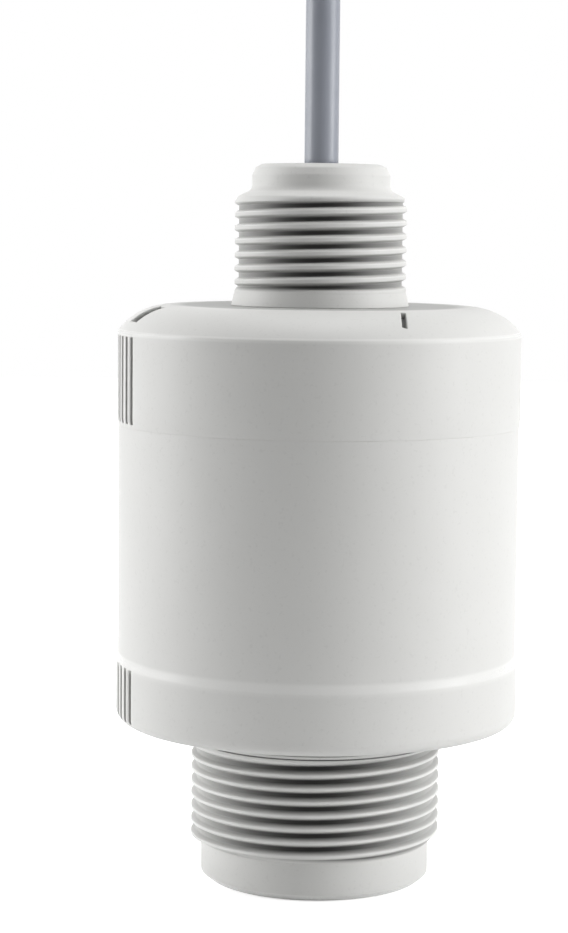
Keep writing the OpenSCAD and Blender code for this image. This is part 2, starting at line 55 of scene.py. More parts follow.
def makeCamera(s):
    # levelled, aimed down and to the left, then rolled about its own line of sight
    down, left, roll = (math.radians(s[k]) for k in ("down", "left", "roll"))
    level = Matrix.Rotation(math.pi / 2, 3, "X")
    aimed = Matrix.Rotation(left, 3, "Z") @ Matrix.Rotation(-down, 3, "X") @ level
    turn = aimed @ Matrix.Rotation(roll, 3, "Z")
    data = bpy.data.cameras.new("camera")
    data.lens = s["lens"]
    data.clip_start = 0.01
    camera = addObject("camera", data)
    camera.matrix_world = Matrix.Translation((0, -s["distance"], s["height"])) @ turn.to_4x4()
    bpy.context.scene.camera = camera


makeCamera(cameraSet)
print("camera placed")


def addMesh(name, points, *faces):
    # points in millimetres; the faces are turned round when the volume they enclose comes out negative
    corners = [f.reshape(-1, f.shape[-1]) for f in faces]
    flat = np.concatenate([f[:, [0, i, i + 1]] for f in corners for i in range(1, f.shape[1] - 1)])
    a, b, c = (points[flat[:, i]] for i in range(3))
    if np.einsum("ij,ij->i", a, np.cross(b, c)).sum() < 0:
        corners = [f[:, ::-1] for f in corners]
    loops = np.concatenate([f.ravel() for f in corners])
    counts = np.concatenate([np.full(len(f), f.shape[1]) for f in corners])
    mesh = bpy.data.meshes.new(name)
    mesh.vertices.add(len(points))
    mesh.vertices.foreach_set("co", (points * mm).astype(np.float32).ravel())
    mesh.loops.add(len(loops))
    mesh.loops.foreach_set("vertex_index", loops.astype(np.int32))
    mesh.polygons.add(len(counts))
    mesh.polygons.foreach_set("loop_start", np.concatenate([[0], np.cumsum(counts)[:-1]]).astype(np.int32))
    mesh.update(calc_edges=True)
    mesh.polygons.foreach_set("use_smooth", np.ones(len(counts), bool))
    mesh.validate()
    return addObject(name, mesh)


def setPaintedShadeAndHighlight(piece, paintedShadeAndHighlight):
    # 1 deep in grooves and marks, painted dark as shade, and -1 on edges, painted light as a highlight, with
    # smoother gloss
    layer = piece.data.attributes.new("paintedShadeAndHighlight", "FLOAT", "POINT")
    layer.data.foreach_set("value", np.asarray(paintedShadeAndHighlight, np.float32).ravel())
    return piece


def gridFaces(rows, cols, wrapRows, wrapCols):
    # four corners of each cell of a grid whose points are numbered row by row
    r = np.arange(rows if wrapRows else rows - 1)[:, None]
    c = np.arange(cols if wrapCols else cols - 1)[None, :]
    below, right = (r + 1) % rows, (c + 1) % cols
    return np.stack([r * cols + c, r * cols + right, below * cols + right, below * cols + c], -1)


def fanFaces(pole, ring):
    # triangles from one point to a closed ring
    return np.stack([np.full(len(ring), pole), ring, np.roll(ring, -1)], -1)


def closedRings(name, rings, start, end):
    # rows of closed rings, with a pole at both ends that a fan of triangles joins to its ring
    rows, cols = rings.shape[:2]
    points = np.concatenate([rings.reshape(-1, 3), [start], [end]])
    ring = np.arange(cols)
    return addMesh(name, points, gridFaces(rows, cols, False, True),
                   np.concatenate([fanFaces(rows * cols, ring[::-1]),
                                   fanFaces(rows * cols + 1, ring + (rows - 1) * cols)]))


def unitVector(v):
    # the same directions with a length of 1
    return v / np.linalg.norm(v, axis=-1, keepdims=True)


def roundedOutline(corners, closed=True, hold=0.12, longest=4.0, arcStep=18):
    # corners are [radius, height, fillet, degrees a step]; each becomes an arc that touches both its
    # sides, with a point just before and after it so that flats stay flat, and long sides are divided
    points = np.array([[c[0], c[1]] for c in corners], float)
    out = []
    n = len(corners)
    for i, corner in enumerate(corners):
        p, fillet = points[i], corner[2]
        if not closed and i in (0, n - 1) or fillet == 0:
            out.append(p[None])
            continue
        back, ahead = points[i - 1] - p, points[(i + 1) % n] - p
        a, b = unitVector(back), unitVector(ahead)
        half = math.acos(np.clip(a @ b, -1, 1)) / 2
        reach = fillet / math.tan(half)
        centre = p + unitVector(a + b) * fillet / math.sin(half)
        sweep = math.pi - 2 * half
        steps = max(2, math.ceil(sweep / math.radians(corner[3] if len(corner) > 3 else arcStep)))
        start, end = p + a * reach - centre, p + b * reach - centre
        t = np.linspace(0, 1, steps + 1)[:, None]
        arc = centre + (np.sin((1 - t) * sweep) * start + np.sin(t * sweep) * end) / math.sin(sweep)
        # the points beside both corners of a side leave a tenth of it free
        room = [max(0.01, min(hold, 0.45 * np.linalg.norm(side) - reach)) for side in (back, ahead)]
        out += [(p + a * (reach + room[0]))[None], arc, (p + b * (reach + room[1]))[None]]
    line = np.concatenate(out)
    ends = np.roll(line, -1, 0) if closed else line[1:]
    starts = line if closed else line[:-1]
    divided = []
    for a, b in zip(starts, ends):
        parts = max(1, math.ceil(np.linalg.norm(b - a) / longest))
        divided.append(a + (b - a) * np.linspace(0, 1, parts + 1)[:-1, None])
    return np.concatenate(divided if closed else divided + [line[-1:]])


def turnedPoints(radius, height, angle):
    # a point at an angle from the front, positive towards the right: (r sin a, -r cos a, z)
    return np.stack([radius * np.sin(angle), -radius * np.cos(angle), height + 0 * angle], -1)


def closedTurning(name, radius, height, angle, paintedShadeAndHighlight):
    # a ring-shaped solid: every row is a full circle, and the last row meets the first
    rows, cols = radius.shape
    points = turnedPoints(radius, height, angle).reshape(-1, 3)
    return setPaintedShadeAndHighlight(addMesh(name, points, gridFaces(rows, cols, True, True)), paintedShadeAndHighlight)


def polesTurning(name, radius, height, angle, paintedShadeAndHighlight):
    # a solid of revolution whose outline starts and ends on the axis
    rings = turnedPoints(radius[1:-1], height[1:-1], angle)
    piece = closedRings(name, rings, [0, 0, height[0, 0]], [0, 0, height[-1, 0]])
    return setPaintedShadeAndHighlight(piece, np.append(paintedShadeAndHighlight[1:-1], [0, 0]))


def evenAngles(count):
    # angles round the whole circle, from -180 degrees
    return np.arange(count) * 2 * math.pi / count - math.pi


def withEdges(values, edges, offsets, room=1.3):
    # the values, with the ones near an edge moved out of the way of columns or rows laid round that edge
    edges, offsets = np.asarray(edges, float), np.asarray(offsets, float)
    extra = (edges[:, None] + offsets).ravel()
    clear = np.abs(values[:, None] - edges[None]).min(1) > offsets.max() * room
    return np.sort(np.concatenate([values[clear], extra]))


def easeStep(t):
    # 0 below 0, 1 above 1, and a smooth rise between: 3t^2 - 2t^3
    t = np.clip(t, 0, 1)
    return t * t * (3 - 2 * t)


def softBox(x, halfWidth, edge):
    # 1 inside a width, 0 outside, with a smooth rise of the given length at both edges
    return easeStep((halfWidth + edge / 2 - np.abs(x)) / edge)


def wrapAngle(a):
    # the same angle between -180 and 180 degrees
    return (a + math.pi) % (2 * math.pi) - math.pi


print("shape functions ready")


# the cable's route has the same points as in the CAD frame, and the coil is worked out. A step of the
# coil is its start and end in degrees, then how many cable widths it moves the strand outwards and up
cableSet = {"width": 6.4, "exit": 134.0, "sides": 28, "routeGap": 0.5, "ringGap": 3.0, "length": 2.0,
            "turnToFlat": 330.0, "turnLength": 60.0}
cableRoute = [
    [0, 0, 134], [0, 0, 144], [0, 0, 155], [0, 0, 167], [0, 4, 182], [0, 14, 192],
    [0, 28, 196], [0, 42, 192], [0, 52, 182], [0, 56, 168], [0, 57, 153], [0, 57, 138],
    [-1, 57, 123], [-3, 58, 108], [-7, 60, 94], [-12, 64, 80], [-17, 70, 67], [-22, 78, 55],
    [-27, 88, 45], [-31, 100, 36], [-33.5, 113, 29], [-34.5, 127, 25], [-34.5, 140, 23],
    [-34.5, 153, 22.5], [-34.5, 166, 22.5]]
coilSet = {"middle": 170.0, "radius": 34.4, "layers": 3, "top": 22.5, "tieTurn": 60.0,
           "squeeze": 1.0, "squeezeReach": 50.0, "sink": (0, 48), "rise": (2568.0, 2653.0), "end": 2711.6,
           "steps": [(290, 360, 1, 0), (605, 650, 0, -1), (965, 1010, 0, -1), (1240, 1325, -1, 0),
                     (1600, 1685, -1, 0), (1880, 1960, 0, 1), (2240, 2320, 0, 1)]}


def splineThrough(points, startWay, endWay, gap):
    # a smooth curve through the points: on each span a cubic of its length, whose slopes m at the
    # points make the second derivative continuous, with the directions at both ends given
    p = np.array(points, float)
    h = np.linalg.norm(np.diff(p, axis=0), axis=1)
    d = np.diff(p, axis=0) / h[:, None]
    n = len(p)
    a, b = np.eye(n), np.zeros((n, 3))
    i = np.arange(1, n - 1)
    a[i, i - 1], a[i, i], a[i, i + 1] = h[i], 2 * (h[i - 1] + h[i]), h[i - 1]
    b[i] = 3 * (h[i, None] * d[i - 1] + h[i - 1, None] * d[i])
    b[0], b[-1] = startWay, endWay
    m = np.linalg.solve(a, b)
    s = np.concatenate([[0], np.cumsum(h)])
    at = np.linspace(0, s[-1], int(s[-1] / gap) + 1)
    k = np.clip(np.searchsorted(s, at, "right") - 1, 0, n - 2)
    t = ((at - s[k]) / h[k])[:, None]
    w = h[k, None]
    return ((1 + 2 * t) * (1 - t) ** 2 * p[k] + t * (1 - t) ** 2 * w * m[k]
            + t * t * (3 - 2 * t) * p[k + 1] + t * t * (t - 1) * w * m[k + 1])


def sideStep(turn, start, end):
    # a strand moves over by one place in two equal arcs: 2t^2, then 1 - 2(1 - t)^2
    t = np.clip((turn - start) / (end - start), 0, 1)
    return np.where(t < 0.5, 2 * t * t, 1 - 2 * (1 - t) ** 2)


def coilPath(s, width):
    # the coil winds eight strands round an empty middle: it starts on top, sinks into the middle of
    # the top layer, steps outwards, down the outside, inwards along the floor and up the inside,
    # and its end rises back on top. turn is in degrees, clockwise seen from above, from the left.
    turn = np.arange(0, s["end"] + 1, 1.0)
    radius = s["radius"] + 0 * turn
    height = s["top"] + 0 * turn
    firstTop = width * (s["layers"] - 0.5)
    sink = (*s["sink"], 0, (firstTop - s["top"]) / width)
    for start, end, outwards, upwards in [sink] + s["steps"]:
        moved = sideStep(turn, start, end) * width
        radius += outwards * moved
        height += upwards * moved
    climb = sideStep(turn, *s["rise"]) * math.pi / 2
    radius += width * (1 - np.cos(climb))
    height += (s["top"] - firstTop) * np.sin(climb)
    # near the tie, the strands that it holds are drawn a little towards the bundle's middle
    fromTie = np.clip(((turn - s["tieTurn"] + 180) % 360 - 180) / s["squeezeReach"], -1, 1)
    held = np.clip((s["top"] - height) / (s["top"] - firstTop), 0, 1)
    squeeze = 1 - s["squeeze"] / width * np.cos(fromTie * math.pi / 2) ** 2 * held
    middle = width * s["layers"] / 2
    radius = s["radius"] + (radius - s["radius"]) * squeeze
    height = middle + (height - middle) * squeeze
    angle = math.pi - np.radians(turn)
    return np.stack([radius * np.cos(angle), s["middle"] + radius * np.sin(angle), height], -1)


def evenlySpaced(points, gap):
    # the same line with its points at equal steps along it
    s = np.concatenate([[0], np.cumsum(np.linalg.norm(np.diff(points, axis=0), axis=1))])
    at = np.linspace(0, s[-1], int(round(s[-1] / gap)) + 1)
    return np.stack([np.interp(at, s, points[:, i]) for i in range(3)], -1), at


def tubeMesh(name, path, along, radius, sides, sideways):
    # a round tube: path + radius (cos a u + sin a v), with u and v square to the path. Both ends are
    # closed. The attribute "straight" holds where each point would be if the tube were straight.
    way = unitVector(np.gradient(path, axis=0))
    u = unitVector(np.cross(way, sideways))
    v = np.cross(way, u)
    a = np.arange(sides) * 2 * math.pi / sides
    radius = np.broadcast_to(radius, (len(path), sides))[..., None]
    ring = np.cos(a)[None, :, None] * u[:, None] + np.sin(a)[None, :, None] * v[:, None]
    piece = closedRings(name, path[:, None] + radius * ring, path[0], path[-1])
    flat = np.stack([np.cos(a) + 0 * path[:, :1], np.sin(a) + 0 * path[:, :1]], -1) * radius
    straight = np.concatenate([flat, np.broadcast_to(along[:, None, None], flat.shape[:2] + (1,))], -1)
    straight = np.concatenate([straight.reshape(-1, 3), [[0, 0, along[0]], [0, 0, along[-1]]]])
    layer = piece.data.attributes.new("straight", "FLOAT_VECTOR", "POINT")
    layer.data.foreach_set("vector", (straight * mm).astype(np.float32).ravel())
    return piece


def makeCable(s, coil):
    # the loose cable runs into the coil; the rings' sideways line turns from x to z on the way there
    start = [-coil["radius"], coil["middle"], coil["top"]]
    loose = splineThrough(cableRoute + [start], (0, 0, 1), (0, 1, 0), s["routeGap"])
    whole = np.concatenate([loose[:-1], coilPath(coil, s["width"])])
    path, along = evenlySpaced(whole, s["ringGap"])
    flatShare = easeStep((along - s["turnToFlat"]) / s["turnLength"])[:, None]
    sideways = (1 - flatShare) * np.array([[1.0, 0, 0]]) + flatShare * np.array([[0, 0, 1.0]])
    piece = tubeMesh("sensor_cable", path, along, s["width"] / 2, s["sides"], sideways)
    print("cable", round(along[-1]), "mm long in", len(path), "rings")
    return piece, path


cable, cablePath = makeCable(cableSet, coilSet)


# the far end: five stripped cores, each at its own place in degrees round the sheath, and their bare tips
coreSet = {"width": 1.8, "ring": 1.9, "length": 30.0, "fanStep": 2.4, "inside": 3.0, "lift": 0.1,
           "points": 90, "ringGap": 0.6, "sides": 16, "tip": 7.0, "tipInside": 0.4, "tipWidth": 1.0,
           "tipRings": 40, "tipSides": 42, "strands": 7, "swell": 0.1, "twist": 0.9,
           "places": {"red": 198, "black": 126, "green": 270, "yellow": 54, "blue": 342}}


def corePath(s, coil, index, place):
    # a core leaves the sheath at its own place, sinks on to the coil and follows it, fanned out evenly
    end = cablePath[-1] - [0, coil["middle"], 0]
    radius, angle = math.hypot(end[0], end[1]), math.atan2(end[1], end[0])
    lie = cableSet["width"] * coil["layers"] + s["width"] / 2 + s["lift"]
    t = np.linspace(-s["inside"] / s["length"], 1, s["points"])
    fan = easeStep(2 * t)
    start = math.radians(place + 180)
    fanPlace = (len(s["places"]) // 2 - index) * s["fanStep"]
    r = radius + (1 - fan) * s["ring"] * math.cos(start) + fan * fanPlace
    z = (1 - fan) * (end[2] + s["ring"] * math.sin(start)) + fan * lie
    a = angle - t * s["length"] / radius
    return np.stack([r * np.cos(a), coil["middle"] + r * np.sin(a), z], -1)


def makeCore(s, colour, index, place):
    upwards = np.array([[0, 0, 1.0]])
    path, along = evenlySpaced(corePath(s, coilSet, index, place), s["ringGap"])
    core = tubeMesh(colour + "_end_core", path, along, s["width"] / 2, s["sides"], upwards)
    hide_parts(colour + "_end")
    # the bare strands: a tube whose radius swells once for each strand, at an angle that turns along it:
    # half the width times (1 - swell + swell |cos((strands a - twist t) / 2)|)
    way = unitVector(path[-1] - path[-3])
    t = np.linspace(-s["tipInside"], s["tip"], s["tipRings"])
    a = np.arange(s["tipSides"]) * 2 * math.pi / s["tipSides"]
    strand = np.abs(np.cos((s["strands"] * a[None] - s["twist"] * t[:, None]) / 2))
    radius = s["tipWidth"] / 2 * (1 - s["swell"] + s["swell"] * strand)
    tip = tubeMesh(colour + "_tip", path[-1] + way * t[:, None], t, radius, s["tipSides"], upwards)
    return core, tip


# a nylon tie holds the coil; its strap has a low ridge and a chamfer at both edges
tieSet = {"angle": 120.0, "wide": 4.5, "thick": 1.0, "sunk": 0.1, "opening": 17.2, "corner": 3.4,
          "ridge": 0.08, "ridgeFrom": 0.36, "chamferFrom": 0.49, "chamfer": 0.25, "inset": 0.2,
          "around": 160, "across": 15,
          "head": (7.0, 6.0, 3.6), "headOut": -0.5, "headSoft": 0.12, "headRows": 32, "headColumns": 64}


def besideCoil(s, coil, out, over, up):
    # a point out from the middle of the bundle, over along the cable and up, at the tie's place
    turn = math.radians(s["angle"])
    radial = coil["radius"] + out
    return np.stack([radial * math.cos(turn) - over * math.sin(turn),
                     coil["middle"] + radial * math.sin(turn) + over * math.cos(turn), up], -1)


def makeTie(s, coil):
    # the strap's section, a flat loop, is carried round a square with round corners: the corner's middle,
    # plus the corner's radius and the section's height along the direction (cos t, sin t)
    turns = np.arange(s["around"]) * 2 * math.pi / s["around"]
    way = np.stack([np.cos(turns), np.sin(turns)], -1)
    square = way / np.abs(way).max(1)[:, None] * (s["opening"] / 2 - s["corner"])
    across = np.linspace(-0.5, 0.5, s["across"])
    outer = s["thick"] - s["sunk"] + s["ridge"] * (np.abs(across) > s["ridgeFrom"])
    outer = outer - s["chamfer"] * (np.abs(across) > s["chamferFrom"])
    section = np.concatenate([np.stack([across * s["wide"], outer], -1),
                              np.stack([across[::-1] * (s["wide"] - s["inset"]), 0 * across], -1)])
    out = (square + way * s["corner"])[:, None] + way[:, None] * section[None, :, 1:]
    over = np.broadcast_to(section[None, :, 0], out.shape[:2])
    middle = cableSet["width"] * coil["layers"] / 2
    points = besideCoil(s, coil, out[..., 0], over, middle + out[..., 1])
    strap = addMesh("tie_strap", points.reshape(-1, 3), gridFaces(*out.shape[:2], True, True))
    # the head is a sphere pushed out to a block, whose edges and corners are then drawn in a little
    rows, cols = s["headRows"], s["headColumns"]
    u = np.linspace(0, math.pi, rows + 2)[1:-1, None]
    v = (np.arange(cols) * 2 * math.pi / cols)[None]
    ball = np.stack([np.sin(u) * np.cos(v), np.sin(u) * np.sin(v), np.cos(u) + 0 * v], -1).reshape(-1, 3)
    ball = np.concatenate([ball, [[0, 0, 1.0], [0, 0, -1.0]]])
    largest = np.abs(ball).max(1)[:, None]
    soft = 1 - s["headSoft"] * np.abs(ball).min(1)[:, None] / largest
    block = ball / largest * np.array(s["head"]) / 2 * soft
    headMiddle = 2 * middle + s["head"][2] / 2
    points = besideCoil(s, coil, s["headOut"] + block[:, 0], block[:, 1], headMiddle + block[:, 2])
    head = closedRings("tie_head", points[:-2].reshape(rows, cols, 3), points[-2], points[-1])
    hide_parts("cable_tie")
    return strap, head


cores, tips = zip(*[makeCore(coreSet, colour, i, place)
                    for i, (colour, place) in enumerate(coreSet["places"].items())])
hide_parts("core_tips")
tie, tieHead = makeTie(tieSet, coilSet)
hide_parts("cable_run", "cable_coil", "cable_tail")
for piece in (cable, tie, tieHead) + cores + tips:
    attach(piece, "root")
print("tie and cores made")


# threads of inch pipe form: 55 degrees between the flanks, with round roots and blunt crests
# thick is how strongly the painted shade darkens the thread grooves
threadSet = {"pitch": 2.52, "flank": 27.5, "round": 0.137329, "rows": 24, "thick": 1.3}


def threadForm(turns, major, blunt):
    # radius of the thread where turns counts pitches from the middle of a groove: a round root, a
    # straight flank and a round crest, which touch each other, cut off at the crest and filled at the root
    s = threadSet
    p, ball, slope = s["pitch"], s["round"] * s["pitch"], math.radians(s["flank"])
    fromRoot = np.abs((turns + 0.5) % 1 - 0.5) * p
    fromCrest = p / 2 - fromRoot
    touch = ball * math.cos(slope)
    drop = ball * (1 - math.sin(slope))
    depth = 2 * drop + (p / 2 - 2 * touch) / math.tan(slope)
    root = depth - (ball - np.sqrt(np.maximum(ball ** 2 - fromRoot ** 2, 0)))
    crest = ball - np.sqrt(np.maximum(ball ** 2 - fromCrest ** 2, 0))
    flank = drop + (fromCrest - touch) / math.tan(slope)
    form = major - np.where(fromRoot < touch, root, np.where(fromCrest < touch, crest, flank))
    return np.clip(form, major - depth + blunt[1], major - blunt[0])


def cutThread(outline, s):
    # the outline's radius, cut down to the thread's outside a cylinder; "cut" holds the heights where the
    # cut begins, is whole, is still whole and ends. Painted shade is darkest at one place in the groove and
    # thins out towards both crests, and is fainter on the two sides than at the front and back; one edge of
    # the crest gets a painted highlight
    angle = evenAngles(s["columns"])[None]
    radius, height = outline[:, :1] + 0 * angle, outline[:, 1:]
    low, lowFull, highFull, high = s["cut"]
    turns = (height - s["groove"]) / threadSet["pitch"] - angle / (2 * math.pi)
    fade = easeStep((height - low) / (lowFull - low)) * easeStep((high - height) / (high - highFull))
    fade = fade * (radius > s["cutSkin"])
    cut = np.maximum(radius - threadForm(turns, s["thread"], s["blunt"]), 0) * fade
    at, above, below, sideFade = s["paintedShade"]
    fromShade = (turns - at + 0.5) % 1 - 0.5
    fromHighlight = np.abs((turns - s["crestHighlight"][0] + 0.5) % 1 - 0.5)
    # painted shade in the groove, fainter on the sides than at the front and back
    paintedShade = easeStep(1 - np.abs(fromShade) / np.where(fromShade > 0, above, below))
    paintedShade = np.minimum(paintedShade * threadSet["thick"], 1) * (1 - sideFade * np.sin(angle) ** 2)
    return radius - cut, height, angle, fade * (paintedShade - easeStep(1 - fromHighlight / s["crestHighlight"][1]))


def threadRows(low, high, radius):
    # corners without a fillet, so many for each pitch, that give a thread its rows
    count = int((high - low) / threadSet["pitch"] * threadSet["rows"])
    return [[radius, z, 0] for z in np.linspace(low, high, count)]


# the outlines of the next pieces are corners for roundedOutline
# each thread's settings place a painted shade in its grooves and a painted highlight on one edge of its
# crests
antennaSet = {"foot": [(0, 0, 0), (20.3, 0, 0.5), (21.8, 1.2, 0.4), (21.8, 7.4, 0.15)], "thread": 23.9,
              "span": (8.3, 26.5), "threadTop": 26.75, "groove": 25.45, "cut": (7.3, 7.9, 26.45, 26.75),
              "cutSkin": 22.1, "blunt": (0.12, 0.5), "paintedShade": (0.03, 0.3, 0.54, 0.7), "crestHighlight": (0.47, 0.13),
              "rings": [(24.15, 26.79), (24.15, 27.2), (23.5, 27.2), (24.5, 27.42), (24.5, 27.95),
                        (24.0, 27.95), (24.0, 28.2), (24.5, 28.2)], "ringRound": 0.06,
              "ringShade": (27.3, 28.07), "ringShadeReach": 0.25, "skin": 20.0, "polishAndHighlightTop": 1.3,
              "columns": 216,
              "inside": [(24.5, 31.0, 0.15), (23.7, 31.0, 0.1), (23.7, 29.35, 0.1), (22.0, 29.35, 0.1),
                         (22.0, 42.0, 0.2), (18.6, 42.0, 0.2), (18.6, 3.0, 0.3), (0, 3.0, 0)]}


def makeAntennaBody(s):
    # two thin rings stand between the thread and the collar, and the inside is a deep bore
    outline = roundedOutline(
        s["foot"] + threadRows(*s["span"], s["thread"])
        + [(s["thread"], s["threadTop"], 0)] + [(*corner, s["ringRound"]) for corner in s["rings"]]
        + s["inside"], closed=False)
    radius, height, angle, paintedShadeAndHighlight = cutThread(outline, s)
    # shade is painted beside the rings, and the foot's bevel gets a painted highlight and smoother gloss
    outside = outline[:, :1] > s["skin"]
    for level in s["ringShade"]:
        paintedShadeAndHighlight = paintedShadeAndHighlight + outside * easeStep(1 - np.abs(height - level) / s["ringShadeReach"])
    paintedShadeAndHighlight = paintedShadeAndHighlight - outside * (height < s["polishAndHighlightTop"])
    return polesTurning("antenna_body_threaded", radius, height, angle, paintedShadeAndHighlight)


neckSet = {"foot": [(9.0, 98.5, 0.2), (12.0, 98.5, 0.3), (12.0, 111.15, 0.1), (13.7, 111.15, 0.1),
                    (13.7, 109.5, 0.1), (16.8, 109.5, 0.12), (16.2, 112.1, 0.3)], "thread": 16.6,
           "span": (112.7, 128.8), "threadTop": 128.9, "groove": 120.78, "cut": (112.2, 113.3, 128.8, 129.4),
           "cutSkin": 15.0, "blunt": (0.38, 0.42), "paintedShade": (-0.07, 0.52, 0.22, 0.5), "crestHighlight": (-0.34, 0.14),
           "cap": [(15.6, 129.95, 0.5), (13.0, 131.2, 1.4, 9), (13.0, 133.9, 0.9, 6), (12.4, 135.3, 0.9, 6),
                   (11.2, 136.0, 0.9, 6), (4.05, 136.0, 0.15), (3.35, 135.4, 0.2), (3.35, 130.8, 0.3),
                   (9.0, 127.8, 0.3)], "columns": 192}


def makeNeck(s):
    # a hollow neck: the thread stands on a low foot, and above it is a cap with a hole for the cable
    crest = s["thread"] - s["blunt"][0]
    outline = roundedOutline(s["foot"] + threadRows(*s["span"], crest)
                             + [(crest, s["threadTop"], 0.25)] + s["cap"])
    return closedTurning("cable_neck_threaded", *cutThread(outline, s))


antennaBody, neck = makeAntennaBody(antennaSet), makeNeck(neckSet)
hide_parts("antenna_body")
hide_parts("cable_neck")
print("threads cut")


# grips are the same on the housing and the cover, and marks are on the cover's bevel; both repeat half
# a turn round the axis. A slit or pocket has its direction, its width and how far it is turned
markSet = {"grips": 5, "gripWide": 1.1, "gripDeep": 0.7, "gripStep": 4.2, "gripStart": -64.6, "gripShade": 3.0,
           "slit": (26.6, 0.85, -25.0), "pocket": (-72.0, 4.5, 0.0), "deep": 1.1, "share": 0.3, "paintedShade": 0.85,
           "edge": 0.14, "edgeSteps": np.array([-0.09, -0.03, 0.03, 0.09]), "fine": 0.1, "fineReach": 0.4,
           "margin": 0.25}


def gripMiddles(s):
    # angle of the middle of each grip
    one = s["gripStart"] - np.arange(s["grips"]) * s["gripStep"]
    return wrapAngle(np.radians(np.concatenate([one, one + 180])))


def cutGrips(radius, height, angle, piece, s=markSet):
    # straight grooves up the wall: where a groove runs, the radius is at most the one of its floor, and
    # shade is painted along its edges, as the grip shade setting times mask (1 - mask)
    wall, (low, high) = piece["wall"], piece["grip"]
    nearest = np.abs(wrapAngle(angle[..., None] - gripMiddles(s))).min(-1) * wall
    mask = softBox(nearest, s["gripWide"] / 2, s["edge"])
    mask = mask * softBox(height - (low + high) / 2, (high - low) / 2, s["edge"])
    cut = np.maximum(radius - (wall - s["gripDeep"]), 0) * mask
    return radius - cut, s["gripShade"] * mask * (1 - mask) * (cut > 0)


def gripColumns(base, wall, s=markSet):
    # the columns of the grid, with four beside each edge of a grip
    half = s["gripWide"] / 2 / wall
    edges = np.concatenate([gripMiddles(s) - half, gripMiddles(s) + half])
    return withEdges(base, edges, s["edgeSteps"] / wall)


housingSet = {"wall": 38.2, "grip": (31.92, 42.0), "skin": 37.4, "polishAndHighlight": (42.85, 1.4), "longest": 6.0,
              "columns": 144,
              "outline": [(22.15, 31.0, 0.15), (24.65, 31.0, 0.1), (24.65, 30.6, 0.1), (38.2, 30.6, 2.2, 4),
                          (38.2, 41.2, 0), (38.2, 41.9, 0), (38.2, 42.15, 3.0, 2), (37.97, 43.6, 6.0, 2),
                          (37.9, 47.0, 0), (37.9, 47.5, 0), (37.9, 87.0, 0.06), (35.4, 87.0, 0.15),
                          (35.4, 97.0, 0.4), (33.4, 97.0, 0.3), (33.4, 34.1, 0.6), (22.15, 34.1, 0.2)]}


def makeHousing(s):
    # a cup whose flange runs out into the wall through two soft curves; its spigot goes into the cover
    outline = roundedOutline(s["outline"], longest=s["longest"])
    angle = gripColumns(evenAngles(s["columns"]), s["wall"])[None]
    height = outline[:, 1:]
    radius, paintedShadeAndHighlight = cutGrips(outline[:, :1] + 0 * angle, height + 0 * angle, angle, s)
    # the curve at the top of the flange gets a painted highlight and smoother gloss
    paintedHighlight = (outline[:, :1] > s["skin"]) * easeStep(s["polishAndHighlight"][1] - np.abs(height - s["polishAndHighlight"][0]))
    return closedTurning("main_housing_shell", radius, height, angle, paintedShadeAndHighlight - paintedHighlight)


coverSet = {"bore": 35.55, "seam": 87.0, "wall": 38.1, "taper": (0.17, 1.6), "rim": 104.6, "rimRound": 0.45,
            "slope": 53.0, "arcSteps": 100, "arcClear": (0.5, 0.4), "flat": 28.6, "roof": 109.5,
            "grip": (87.8, 103.8), "flatShade": (26.2, 0.45), "columns": 144,
            "inside": [(12.15, 109.5, 0.15), (12.15, 106.5, 0.2), (25.6, 106.5, 1.0), (33.4, 100.4, 0.6),
                       (33.4, 98.9, 0.15), (35.55, 98.9, 0.15)]}


def bevelArc(s):
    # one arc from the rim, which it leaves at the given slope, to the edge of the flat top
    wide, high = s["wall"] - s["flat"], s["roof"] - s["rim"]
    chord, rise = math.hypot(wide, high), math.atan2(high, wide)
    half = math.radians(s["slope"]) - rise
    radius = chord / (2 * math.sin(half))
    start = math.pi / 2 - math.radians(s["slope"])
    middle = np.array([s["wall"] - radius * math.cos(start), s["rim"] - radius * math.sin(start)])
    a = start + np.linspace(0, 1, s["arcSteps"] + 1) * 2 * half
    return middle, middle + radius * np.stack([np.cos(a), np.sin(a)], -1)


def markMask(radius, angle, mark, at, bevel, s=markSet):
    # 1 inside a slot on the bevel and the one opposite: a rectangle in the plan, turned about its own
    # middle, which is at the radius "at"; it is twice the share of the bevel long
    direction, width, turn = mark
    c, n = math.cos(math.radians(turn)), math.sin(math.radians(turn))
    total = 0
    for side in (0, 180):
        a = wrapAngle(angle - math.radians(direction + side))
        out, across = radius * np.cos(a) - at, radius * np.sin(a)
        along = softBox(out * c + across * n, bevel * s["share"], s["edge"])
        over = softBox(-out * n + across * c, width / 2, s["edge"])
        total = total + along * over * (np.abs(a) < math.pi / 2)
    return total


